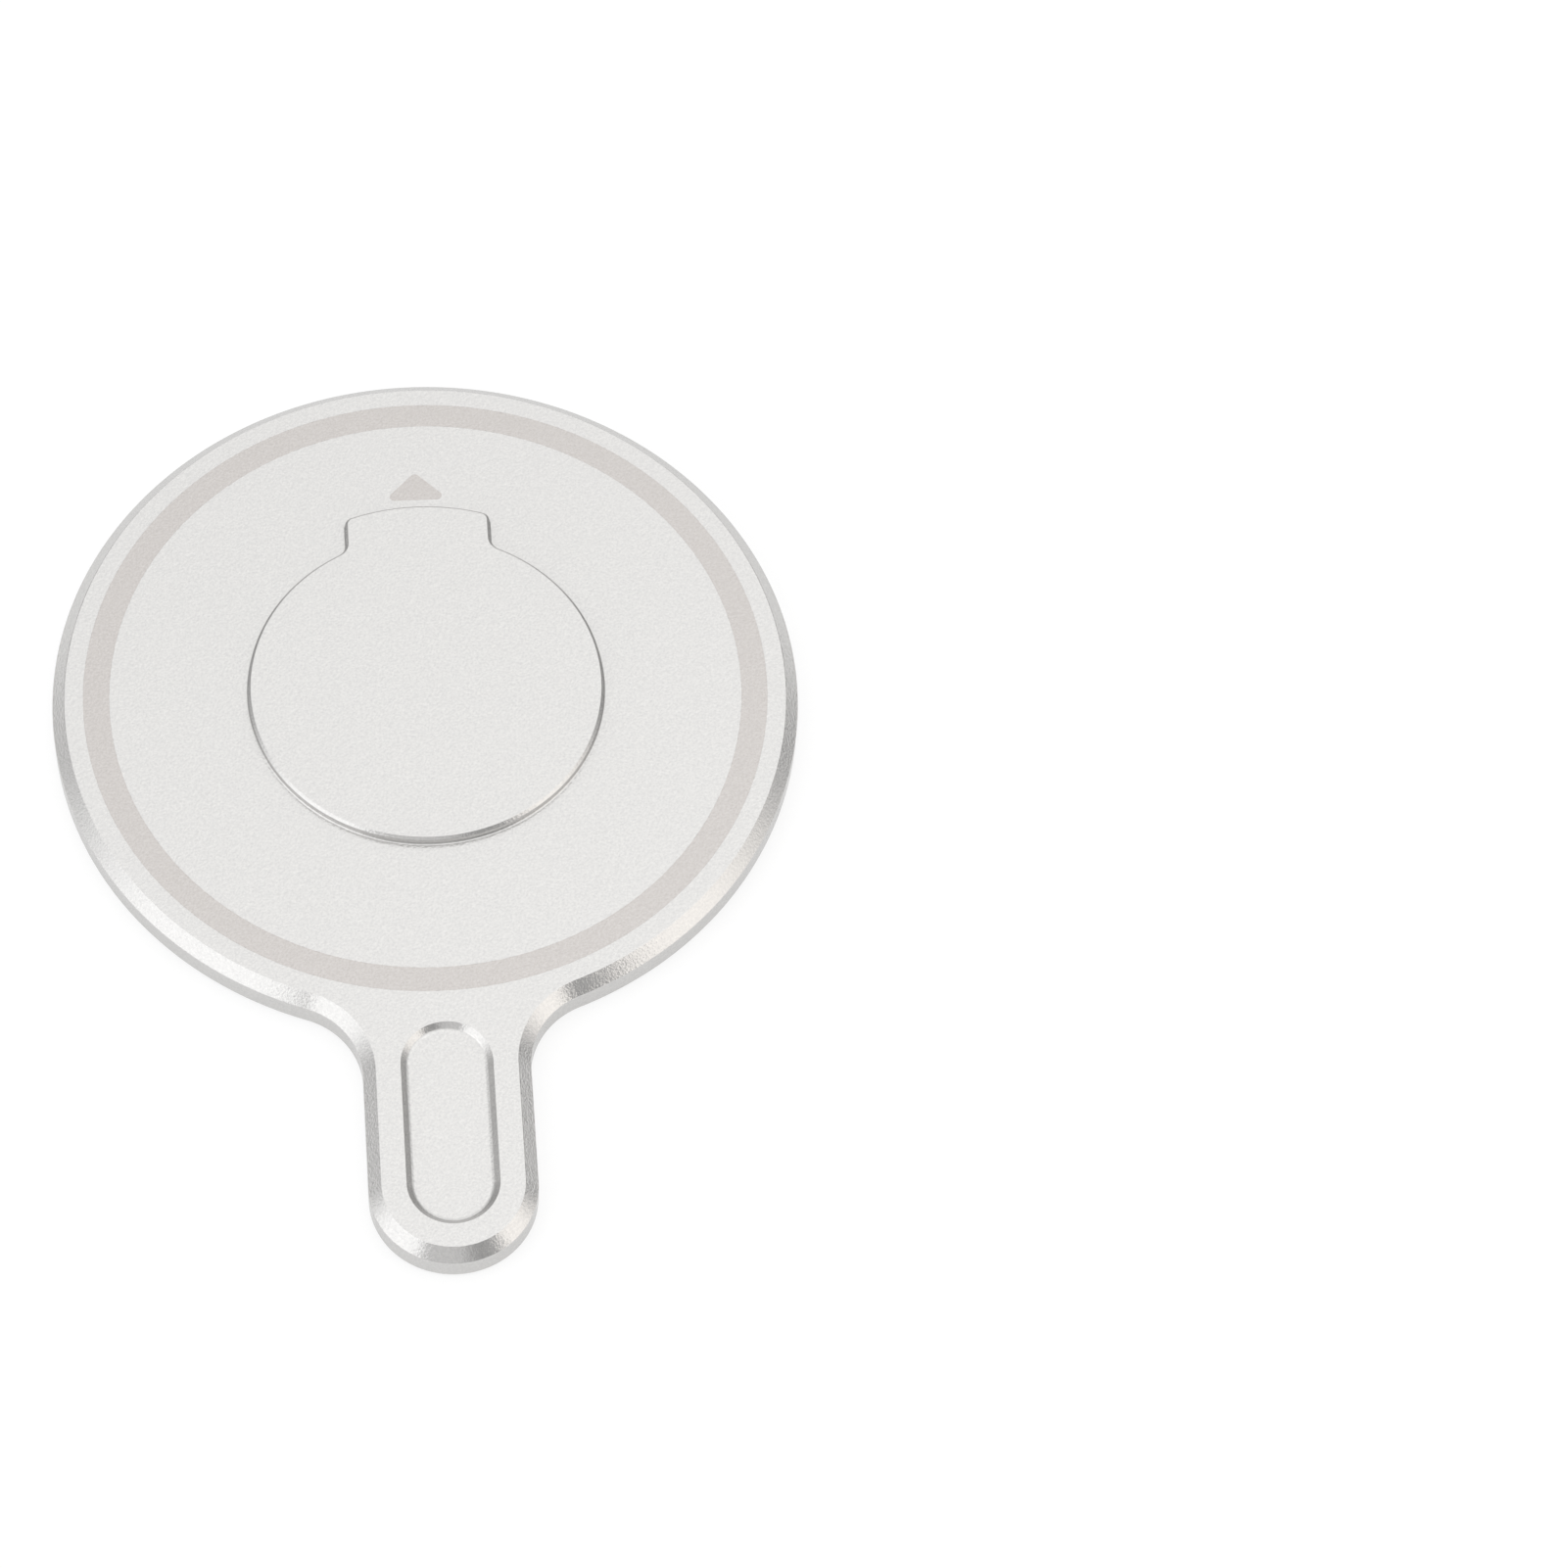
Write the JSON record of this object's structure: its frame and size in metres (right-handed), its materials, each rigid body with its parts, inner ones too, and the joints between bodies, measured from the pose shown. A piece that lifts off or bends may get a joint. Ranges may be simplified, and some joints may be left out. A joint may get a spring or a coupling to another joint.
{
  "type": "magnetic phone clamp adapter",
  "caption": "Round aluminium adapter plate with a short tail, a keyed boss for a magnetic clamp, a finger recess and a magnet ring behind a soft rear pad.",
  "frame": {"origin": "centre of the disc on the face of the rear pad, the face that lies on the phone", "axes": "+Z out of the front face through the boss, +Y from the disc's centre towards the boss's key and the arrow, -Y down the tail, +X to the right when the tail points towards the viewer"},
  "size_m": [0.06, 0.0806, 0.004],
  "materials": {
    "bead_blasted_aluminium": "bead blasted and clear anodised, with a bright cut chamfer round the front edge, the boss and the finger recess",
    "marked_field": "matt warm-grey marked field, flush with the blasted face",
    "plated_steel": "zinc-plated sheet steel",
    "nickel_plated_magnet": "nickel-plated sintered magnet, satin",
    "adhesive_film": "thin double-sided film",
    "soft_pad": "matt soft silicone"
  },
  "bodies": {
    "root": {"plate": "bead_blasted_aluminium", "ring_mark": "marked_field", "arrow_mark": "marked_field", "ring_yoke": "plated_steel", "tail_yoke": "plated_steel", "key_backing_disc": "plated_steel", "adhesive_film": "adhesive_film", "rear_pad": "soft_pad", "ring_magnet_01": "nickel_plated_magnet", "ring_magnet_02": "nickel_plated_magnet", "ring_magnet_03": "nickel_plated_magnet", "ring_magnet_04": "nickel_plated_magnet", "ring_magnet_05": "nickel_plated_magnet", "ring_magnet_06": "nickel_plated_magnet", "ring_magnet_07": "nickel_plated_magnet", "ring_magnet_08": "nickel_plated_magnet", "ring_magnet_09": "nickel_plated_magnet", "ring_magnet_10": "nickel_plated_magnet", "ring_magnet_11": "nickel_plated_magnet", "ring_magnet_12": "nickel_plated_magnet", "ring_magnet_13": "nickel_plated_magnet", "ring_magnet_14": "nickel_plated_magnet", "ring_magnet_15": "nickel_plated_magnet", "ring_magnet_16": "nickel_plated_magnet", "tail_magnet_01": "nickel_plated_magnet", "tail_magnet_02": "nickel_plated_magnet", "key_magnet_01": "nickel_plated_magnet", "key_magnet_02": "nickel_plated_magnet", "key_magnet_03": "nickel_plated_magnet", "key_magnet_04": "nickel_plated_magnet", "key_magnet_05": "nickel_plated_magnet", "key_magnet_06": "nickel_plated_magnet"}
  },
  "joints": []
}
